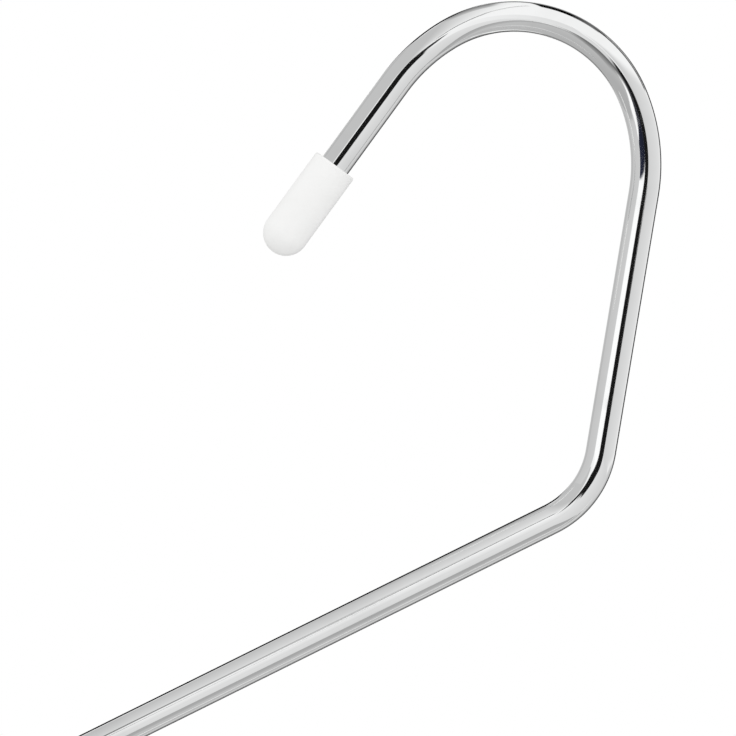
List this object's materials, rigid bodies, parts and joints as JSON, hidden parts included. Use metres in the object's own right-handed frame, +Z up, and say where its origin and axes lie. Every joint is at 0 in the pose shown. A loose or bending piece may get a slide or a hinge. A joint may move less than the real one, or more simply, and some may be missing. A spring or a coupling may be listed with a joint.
{
  "type": "trouser hanger",
  "caption": "Open-ended trouser hanger: a bent chrome rod forms the rail hook, sloping arm and level trouser bar, with white vinyl end caps and a non-slip sleeve on the bar.",
  "frame": {"origin": "centre of the hook's crown arc, on the axis of the rail that it hangs from", "axes": "+X along the trouser bar to its open end, +Y along the rail, +Z up"},
  "size_m": [0.356, 0.009, 0.2249],
  "materials": {
    "chrome_plate": "polished",
    "white_vinyl": "satin"
  },
  "bodies": {
    "root": {"hanger_rod": "chrome_plate", "hook_tip_cap": "white_vinyl", "bar_end_cap": "white_vinyl", "bar_sleeve": "white_vinyl"}
  },
  "joints": []
}
